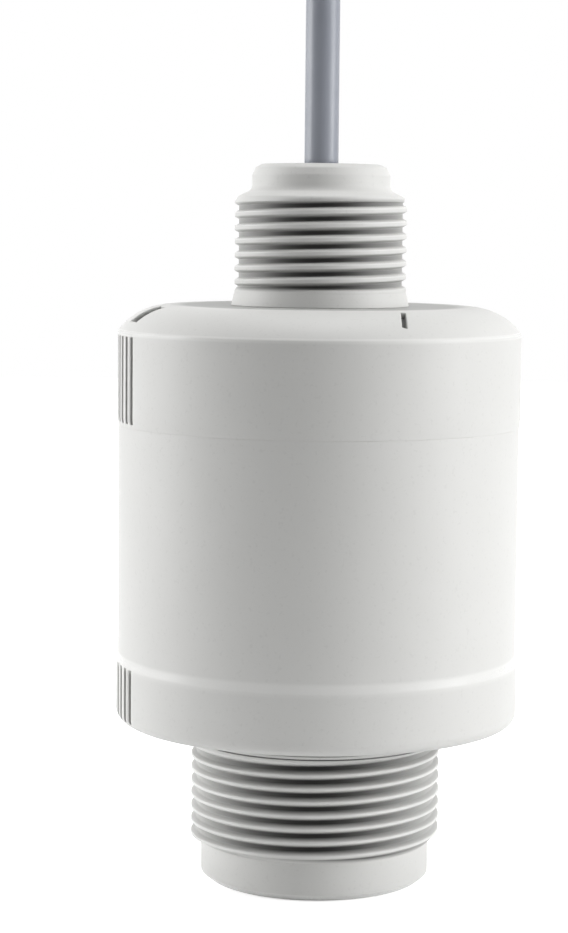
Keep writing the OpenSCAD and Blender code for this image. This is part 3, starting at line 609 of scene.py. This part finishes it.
def makeCover(s, m=markSet):
    # a cap: a wall that widens a little above the seam, the rim, the bevel's arc clear of its two ends,
    # and the flat top with the neck's hole
    middle, arc = bevelArc(s)
    fromRim, fromFlat = np.linalg.norm(arc - [s["wall"], s["rim"]], axis=1), arc[:, 0] - s["flat"]
    arc = arc[(fromRim > s["arcClear"][0]) & (fromFlat > s["arcClear"][1])]
    ends = [z + d for z in s["grip"] for d in m["edgeSteps"]]
    narrow, long = s["taper"]
    outline = roundedOutline(
        [[s["bore"], s["seam"], 0.1], [s["wall"] - narrow, s["seam"], 0.06]]
        + [[s["wall"] - narrow * max(0, 1 - (z - s["seam"]) / long), z, 0]
           for z in sorted(ends + [s["seam"] + long])]
        + [[s["wall"], s["rim"], s["rimRound"]]] + [[x, z, 0] for x, z in arc]
        + [[s["flat"], s["roof"], 0.2]] + s["inside"])
    bevel = s["wall"] - s["flat"]
    at = s["wall"] - bevel / 2
    # columns close together all across the slits, and beside the edges of the pockets
    slant = bevel * m["share"] * math.sin(math.radians(-m["slit"][2]))
    slitReach = (m["slit"][1] / 2 + slant + m["margin"]) / at
    acrossSlit = np.arange(-slitReach, slitReach, m["fine"] / at)
    besideEdge = np.arange(-m["fineReach"], m["fineReach"] + m["fine"] / 10, m["fine"]) / at
    half = m["pocket"][1] / 2 / at
    angle = gripColumns(evenAngles(s["columns"]), s["wall"])
    for side in (0, math.pi):
        angle = withEdges(angle, [wrapAngle(math.radians(m["slit"][0]) + side)], acrossSlit)
        pocket = math.radians(m["pocket"][0]) + side
        angle = withEdges(angle, wrapAngle(np.array([pocket - half, pocket + half])), besideEdge)
    angle = angle[None]
    height = outline[:, 1:] + 0 * angle
    radius, paintedShadeAndHighlight = cutGrips(outline[:, :1] + 0 * angle, height, angle, s)
    onBevel = (height > s["rim"] - 0.2) & (radius > s["flat"] - 1)
    mask = sum(markMask(radius, angle, m[mark], at, bevel) for mark in ("slit", "pocket")) * onBevel
    # a mark sinks towards the middle of the bevel's arc, so that its floor follows the curve
    way = unitVector(np.stack([radius - middle[0], height - middle[1]], -1))
    radius = radius - way[..., 0] * mask * m["deep"]
    height = height - way[..., 1] * mask * m["deep"]
    # painted shade in the marks and, more lightly, on the flat top round the neck; the rim gets a
    # painted highlight and smoother gloss
    onFlat = (outline[:, 1:] > s["roof"] - 0.01) & (outline[:, :1] < s["flatShade"][0])
    onRim = np.hypot(outline[:, :1] - s["wall"], outline[:, 1:] - s["rim"]) < s["rimRound"]
    paintedShadeAndHighlight = paintedShadeAndHighlight + m["paintedShade"] * mask + onFlat * s["flatShade"][1] - onRim
    return closedTurning("top_cover_shell", radius, height, angle, paintedShadeAndHighlight)


housing, cover = makeHousing(housingSet), makeCover(coverSet)
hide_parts("main_housing")
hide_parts("top_cover")
for piece in (antennaBody, neck, housing, cover):
    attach(piece, "root")
print("housing and cover made")


def startMaterial(name):
    # a new material, its nodes and its shader
    material = bpy.data.materials.new(name)
    material.use_nodes = True
    tree = material.node_tree
    return material, tree, tree.nodes["Principled BSDF"]


def addNode(tree, kind, inputs=(), **settings):
    # a node with its settings; an input is a number or colour, or another node's output
    node = tree.nodes.new("ShaderNode" + kind)
    for key, value in settings.items():
        setattr(node, key, value)
    for key, value in dict(inputs).items():
        if isinstance(value, bpy.types.NodeSocket):
            tree.links.new(value, node.inputs[key])
        else:
            node.inputs[key].default_value = value
    return node


def places(tree, scale=(1, 1, 1), attribute=None):
    # where the pattern is read: the object's own coordinates, or a tube's straightened ones
    if attribute:
        source = addNode(tree, "Attribute", attribute_name=attribute).outputs["Vector"]
    else:
        source = addNode(tree, "TexCoord").outputs["Object"]
    return addNode(tree, "Mapping", {"Vector": source, "Scale": scale}).outputs["Vector"]


def noise(tree, vector, size, detail=2.0, rough=0.5):
    # soft random field whose lumps are about size millimetres wide
    inputs = {"Vector": vector, "Scale": 1000 / size, "Detail": detail, "Roughness": rough}
    return addNode(tree, "TexNoise", inputs).outputs["Fac"]


def ranged(tree, value, low, high, fromLow=0.3, fromHigh=0.7):
    # low where the value is fromLow or less, high where it is fromHigh or more, and even between
    inputs = {"Value": value, "From Min": fromLow, "From Max": fromHigh, "To Min": low, "To Max": high}
    return addNode(tree, "MapRange", inputs).outputs["Result"]


def blended(tree, factor, first, second):
    # the first colour where the factor is 0, the second where it is 1
    node = addNode(tree, "Mix", data_type="RGBA")
    for socket, value in zip((node.inputs[0], node.inputs[6], node.inputs[7]), (factor, first, second)):
        if isinstance(value, bpy.types.NodeSocket):
            tree.links.new(value, socket)
        else:
            socket.default_value = value if isinstance(value, float) else (*value, 1)
    return node.outputs[2]


def maths(tree, operation, a, b):
    # a sum, difference, product or the greater of two inputs
    return addNode(tree, "Math", {0: a, 1: b}, operation=operation).outputs[0]


def roughened(tree, middle, broad, broadSpread, fine, fineSpread):
    # a roughness that goes up and down round its middle with a broad field and a fine one
    return maths(tree, "ADD", ranged(tree, broad, middle - broadSpread, middle + broadSpread),
                 ranged(tree, fine, -fineSpread, fineSpread))


def bumped(tree, height, microns, strength=0.5, normal=None):
    # a field's relief, so many thousandths of a millimetre high, on top of another one if there is one
    inputs = {"Height": height, "Distance": microns * 1e-6, "Strength": strength}
    if normal:
        inputs["Normal"] = normal
    return addNode(tree, "Bump", inputs).outputs["Normal"]


def finishShader(tree, shader, colour, roughness, normal=None, **fixed):
    # what varies is linked, and what is the same all over the surface is set on the shader's own socket
    for key, value in (("Base Color", colour), ("Roughness", roughness), ("Normal", normal)):
        if isinstance(value, bpy.types.NodeSocket):
            tree.links.new(value, shader.inputs[key])
        elif value is not None:
            shader.inputs[key].default_value = (*value, 1) if key == "Base Color" else value
    for key, value in fixed.items():
        shader.inputs[key].default_value = value


def mouldedPlastic(name, s):
    # moulded resin: a spark-eroded grain over slow waves of flow, in colour, gloss and height
    material, tree, shader = startMaterial(name)
    at = places(tree)
    flow = noise(tree, places(tree, (1, 1, s["flowStretch"])), s["flowSize"], 3)
    grain = noise(tree, at, s["grainSize"], *s["grainForm"])
    specks = noise(tree, at, s["speckSize"], 1)
    colour = blended(tree, ranged(tree, flow, 0.0, 1.0), s["light"], s["dark"])
    colour = blended(tree, ranged(tree, specks, 0.0, s["speckShare"], *s["speckRange"]), colour, s["speck"])
    # where the mesh carries painted shade and highlight, the colour goes dark in grooves and marks as painted
    # shade and light on edges as a painted highlight, whose gloss is also smoother
    if "paintedShade" in s:
        paintedShadeAndHighlight = addNode(tree, "Attribute", attribute_name="paintedShadeAndHighlight").outputs["Fac"]
        colour = blended(tree, ranged(tree, paintedShadeAndHighlight, 0.0, 1.0, 0.0, 1.0), colour, s["paintedShade"])
        polishAndHighlight = ranged(tree, paintedShadeAndHighlight, 1.0, 0.0, -1.0, 0.0)
        colour = blended(tree, polishAndHighlight, colour, s["paintedHighlight"])
    rough = roughened(tree, s["roughness"], flow, s["flowSpread"], grain, s["grainSpread"])
    if "paintedShade" in s:
        rough = maths(tree, "SUBTRACT", rough, maths(tree, "MULTIPLY", polishAndHighlight, s["smoother"]))
    waves = bumped(tree, flow, s["waveDeep"])
    normal = bumped(tree, grain, s["grainDeep"], s["grainStrength"], waves)
    finishShader(tree, shader, colour, rough, normal, **s.get("fixed", {}))
    return material


def extrudedSheath(name, s, attribute="straight"):
    # extruded covering of a wire: fine lines drawn along it, a light matt bloom and a few rubs
    material, tree, shader = startMaterial(name)
    lines = noise(tree, places(tree, (1, 1, s["lineStretch"]), attribute), s["lineSize"], 2)
    bloom = noise(tree, places(tree, (1, 1, s["bloomStretch"]), attribute), s["bloomSize"], 3)
    grain = noise(tree, places(tree, (1, 1, 1), attribute), s["grainSize"], 2)
    colour = blended(tree, ranged(tree, bloom, 0.0, 1.0), s["light"], s["dark"])
    rough = roughened(tree, s["roughness"], bloom, s["roughSpread"], lines, s["roughSpread"])
    normal = bumped(tree, lines, s["lineDeep"], s["lineStrength"])
    normal = bumped(tree, grain, s["grainDeep"], normal=normal)
    finishShader(tree, shader, colour, rough, normal, **s.get("fixed", {}))
    return material


def workedMetal(name, s):
    # plated, turned or tinned metal: rings or grains left by the tool, and dull patches
    material, tree, shader = startMaterial(name)
    patches = noise(tree, places(tree), s["patchSize"], 3)
    if s["turned"]:
        inputs = {"Vector": places(tree), "Scale": 1000 / s["toolSize"], "Distortion": s["waver"],
                  "Detail": 2.0}
        tool = addNode(tree, "TexWave", inputs, wave_type="RINGS", rings_direction="Z").outputs["Fac"]
    else:
        tool = noise(tree, places(tree), s["toolSize"], 2)
    colour = blended(tree, ranged(tree, patches, 0.0, 1.0), s["light"], s["dark"])
    rough = roughened(tree, s["roughness"], patches, s["patchSpread"], tool, s["toolSpread"])
    normal = bumped(tree, tool, s["toolDeep"], s["toolStrength"])
    finishShader(tree, shader, colour, rough, normal, Metallic=1.0)
    return material


def circuitBoard(name, s):
    # solder mask over copper: straight tracks show as a slightly lighter and raised grid of strips
    material, tree, shader = startMaterial(name)
    at = places(tree)
    inputs = {"Vector": at, "Scale": 1000 / s["trackSize"], "Mortar Size": s["gapWide"],
              "Mortar": (0, 0, 0, 1), "Color1": (1, 1, 1, 1), "Color2": (*[s["lower"]] * 3, 1)}
    strips = addNode(tree, "TexBrick", inputs).outputs["Color"]
    cloud = noise(tree, at, s["cloudSize"], 2)
    colour = blended(tree, strips, s["dark"], s["light"])
    colour = blended(tree, ranged(tree, cloud, 0.0, s["gapShare"]), colour, s["gap"])
    rough = ranged(tree, cloud, *s["roughness"])
    finishShader(tree, shader, colour, rough, bumped(tree, strips, s["trackDeep"]))
    return material


def windings(name, s):
    # tape or sleeve wound in turns: bands up the part, with a slightly raised edge each
    material, tree, shader = startMaterial(name)
    inputs = {"Vector": places(tree), "Scale": 1000 / s["turnSize"], "Distortion": s["waver"]}
    bands = addNode(tree, "TexWave", inputs, bands_direction="Z").outputs["Fac"]
    cloud = noise(tree, places(tree), s["turnSize"] * 2, 3)
    colour = blended(tree, ranged(tree, cloud, 0.0, 1.0), s["light"], s["dark"])
    rough = ranged(tree, cloud, *s["roughness"])
    finishShader(tree, shader, colour, rough, bumped(tree, bands, s["turnDeep"]))
    return material


# sizes in millimetres, depths in thousandths of one
mouldedSet = {"flowStretch": 0.45, "speckShare": 0.35, "speckRange": (0.62, 0.75), "flowSpread": 0.03,
              "grainForm": (2.5, 0.62), "grainSpread": 0.04, "grainDeep": 9}
# the shell's near-black colour is painted shade for grooves and marks, and its lighter one a painted
# highlight for edges
shellSet = dict(mouldedSet, light=(0.70, 0.70, 0.685), dark=(0.675, 0.675, 0.66), speck=(0.60, 0.60, 0.585),
                flowSize=26, grainSize=0.16, speckSize=0.7, roughness=0.42, waveDeep=30, grainStrength=0.35,
                paintedShade=(0.012, 0.012, 0.011), paintedHighlight=(0.77, 0.77, 0.755), smoother=0.16,
                fixed={"Specular IOR Level": 0.15})
sheathSet = {"light": (0.275, 0.292, 0.335), "dark": (0.245, 0.262, 0.305), "lineSize": 0.35,
             "lineStretch": 0.012, "lineDeep": 14, "lineStrength": 0.6, "bloomSize": 5, "bloomStretch": 0.3,
             "grainSize": 0.12, "grainDeep": 6, "roughness": 0.40, "roughSpread": 0.05,
             "fixed": {"Sheen Weight": 0.4, "Sheen Roughness": 0.35}}
rubberSet = dict(mouldedSet, light=(0.045, 0.045, 0.048), dark=(0.03, 0.03, 0.033), speck=(0.08, 0.08, 0.08),
                 flowSize=6, grainSize=0.1, speckSize=0.5, roughness=0.62, waveDeep=12, grainStrength=0.6)
lensSet = dict(rubberSet, light=(0.86, 0.85, 0.80), dark=(0.80, 0.79, 0.73), speck=(0.9, 0.89, 0.86),
               roughness=0.36)
blackPartSet = dict(rubberSet, light=(0.035, 0.035, 0.037), dark=(0.022, 0.022, 0.024), roughness=0.5)
terminalSet = dict(rubberSet, light=(0.04, 0.27, 0.10), dark=(0.03, 0.22, 0.08), speck=(0.05, 0.3, 0.12),
                   roughness=0.38)
tieNylonSet = dict(rubberSet, light=(0.022, 0.022, 0.023), dark=(0.014, 0.014, 0.015), roughness=0.4)
steelSet = {"light": (0.60, 0.61, 0.64), "dark": (0.48, 0.49, 0.51), "patchSize": 4, "patchSpread": 0.06,
            "toolSize": 0.25, "toolSpread": 0.03, "toolDeep": 4, "toolStrength": 0.6, "roughness": 0.34,
            "turned": False}
aluminiumSet = dict(steelSet, light=(0.80, 0.80, 0.81), dark=(0.70, 0.70, 0.71), patchSize=9, toolSize=0.9,
                    toolDeep=5, roughness=0.3, turned=True, waver=0.6)
tinnedSet = dict(steelSet, light=(0.72, 0.71, 0.69), dark=(0.58, 0.57, 0.55), patchSize=1.2, roughness=0.3)
boardSet = {"light": (0.035, 0.20, 0.085), "dark": (0.018, 0.12, 0.05), "gap": (0.03, 0.16, 0.06),
            "gapWide": 0.018, "gapShare": 0.25, "lower": 0.72, "cloudSize": 15, "roughness": (0.3, 0.42),
            "trackSize": 5, "trackDeep": 35}
tapeSet = {"light": (0.60, 0.42, 0.06), "dark": (0.5, 0.33, 0.04), "turnSize": 1.3, "turnDeep": 40,
           "waver": 0.3, "roughness": (0.3, 0.4)}
sleeveSet = dict(tapeSet, light=(0.03, 0.035, 0.13), dark=(0.02, 0.022, 0.09), turnSize=3, turnDeep=10,
                 roughness=(0.19, 0.29))
insulationColours = {"red": (0.50, 0.030, 0.025), "black": (0.020, 0.020, 0.021), "green": (0.03, 0.24, 0.06),
                     "yellow": (0.62, 0.44, 0.03), "blue": (0.03, 0.10, 0.42)}
insulationSet = dict(sheathSet, darkShare=0.85, lineSize=0.15, bloomSize=2, roughness=0.3, lineDeep=6)


def insulation(light):
    # the settings of a core's covering, whose darker tone is a share of the light one
    return dict(insulationSet, light=light, dark=tuple(insulationSet["darkShare"] * c for c in light))


# what each slot is made with, and the pieces and CAD nodes that it finishes
recipes = {
    "housing_plastic": (mouldedPlastic, shellSet, [antennaBody, neck, housing, cover]),
    "seal_rubber": (mouldedPlastic, rubberSet, ["antenna_seal", "cover_seal", "neck_seal", "cable_seal"]),
    "lens_plastic": (mouldedPlastic, lensSet, ["antenna_lens"]),
    "black_component": (mouldedPlastic, blackPartSet, [
        "radar_chip", "board_link", "processor_chip", "power_inductor"]),
    "terminal_green": (mouldedPlastic, terminalSet, ["terminal_block"]),
    "tie_nylon": (mouldedPlastic, tieNylonSet, [tie, tieHead]),
    "plated_steel": (workedMetal, steelSet, [
        "lock_ring", "neck_nut", "cable_washer", "clamp_screw", "horn_screws", "shield_can", "board_spacers",
        "board_screws", "terminal_screws"]),
    "turned_aluminium": (workedMetal, aluminiumSet, ["antenna_horn"]),
    "tinned_copper": (workedMetal, tinnedSet, list(tips)),
    "circuit_board": (circuitBoard, boardSet, ["radar_board", "main_board"]),
    "transformer_tape": (windings, tapeSet, ["isolation_transformer"]),
    "capacitor_sleeve": (windings, sleeveSet, ["filter_capacitors"]),
    "cable_sheath": (extrudedSheath, sheathSet, [cable, "cable_entry"])}
for core, (colour, light) in zip(cores, insulationColours.items()):
    recipes[colour + "_insulation"] = (extrudedSheath, insulation(light), [core, colour + "_core"])


def paint(slot, make, s, targets):
    # a piece of this script gets the slot's name as well; a CAD node already has it. The straight CAD
    # wires inside read their pattern upright, in object coordinates
    material = make(slot, s)
    for target in targets:
        if isinstance(target, str):
            piece = cadNodes[target]
            finish = make("upright_" + slot, s, None) if make is extrudedSheath else material
        else:
            piece, finish = target, material
        piece.data.materials.clear()
        piece.data.materials.append(finish)


for slot, recipe in recipes.items():
    paint(slot, *recipe)
print("materials made:", len(recipes))


# the floor, the backdrop and the lamps, in metres
stageSet = {"floor": 3.0, "colour": (0.85, 0.85, 0.85), "outer": (0.45, 0.45, 0.45), "near": 0.12, "far": 0.4,
            "nearWhite": 0.55, "roughness": 0.9, "world": 0.0}
lamps = [
    # name, degrees from the front towards the right, degrees up, metres away, width, height, watts
    ("right", 80, 5, 1.0, 0.4, 1.1, 11.2),
    ("rightFront", 60, 5, 1.0, 0.4, 1.1, 3.2),
    ("left", -90, 5, 1.0, 0.4, 1.1, 11.0),
    ("leftBehind", -115, 5, 1.0, 0.4, 1.1, 3.8),
    ("above", 0, 88, 1.0, 0.8, 0.8, 2.6),
    ("behind", 180, 78, 1.0, 0.4, 0.4, 2.9),
    ("upperRight", 60, 50, 1.0, 0.5, 0.5, 1.1)]
lampAim = (0, 0, 0.07)


def seenDirectly(tree):
    # 1 for rays from the camera, from mirrors and through glass, 0 for the light that falls on things
    path = addNode(tree, "LightPath")
    both = maths(tree, "MAXIMUM", path.outputs["Is Camera Ray"], path.outputs["Is Glossy Ray"])
    return maths(tree, "MAXIMUM", both, path.outputs["Is Transmission Ray"])


def makeFloor(s):
    # a flat sheet; what is seen of it is whiter than its own colour, so that it meets the backdrop
    # without a line, and least so near the object, where its shadow stays. Further out its own colour
    # is greyer, so that it throws less light up at the object
    half = s["floor"] / 2 / mm
    line = np.linspace(-half, half, 3)
    x, y = np.meshgrid(line, line)
    points = np.stack([x, y, 0 * x], -1).reshape(-1, 3)
    mesh = bpy.data.meshes.new("floor")
    mesh.from_pydata((points * mm).tolist(), [], gridFaces(3, 3, False, False).reshape(-1, 4).tolist())
    floor = addObject("floor", mesh)
    material, tree, shader = startMaterial("floor")
    at = addNode(tree, "TexCoord").outputs["Object"]
    away = addNode(tree, "VectorMath", {0: at}, operation="LENGTH").outputs["Value"]
    white = ranged(tree, away, s["nearWhite"], 1.0, s["near"], s["far"])
    colour = blended(tree, ranged(tree, away, 0.0, 1.0, s["near"], s["far"]), s["colour"], s["outer"])
    finishShader(tree, shader, colour, s["roughness"])
    tree.links.new(maths(tree, "MULTIPLY", white, seenDirectly(tree)), shader.inputs["Emission Strength"])
    shader.inputs["Emission Color"].default_value = (1, 1, 1, 1)
    mesh.materials.append(material)


def makeWorld(s):
    # white where it is seen, and it gives only the strength "world" of light
    world = bpy.data.worlds.new("backdrop")
    world.use_nodes = True
    tree = world.node_tree
    strength = ranged(tree, seenDirectly(tree), s["world"], 1.0, 0.0, 1.0)
    tree.nodes["Background"].inputs["Color"].default_value = (1, 1, 1, 1)
    tree.links.new(strength, tree.nodes["Background"].inputs["Strength"])
    bpy.context.scene.world = world


def makeLamp(name, across, up, away, width, height, watts):
    # a rectangle that faces the point lampAim from its direction and distance
    a, e = math.radians(across), math.radians(up)
    data = bpy.data.lights.new(name, "AREA")
    data.shape, data.size, data.size_y, data.energy = "RECTANGLE", width, height, watts
    lamp = addObject(name, data)
    place = np.array([math.cos(e) * math.sin(a), -math.cos(e) * math.cos(a), math.sin(e)]) * away + lampAim
    turn = Matrix.Rotation(a, 3, "Z") @ Matrix.Rotation(math.pi / 2 - e, 3, "X")
    lamp.matrix_world = Matrix.Translation(place) @ turn.to_4x4()
    lamp.visible_camera = False


makeFloor(stageSet)
makeWorld(stageSet)
for lamp in lamps:
    makeLamp(*lamp)
bpy.context.scene.view_settings.view_transform = "Standard"
print("stage lit")
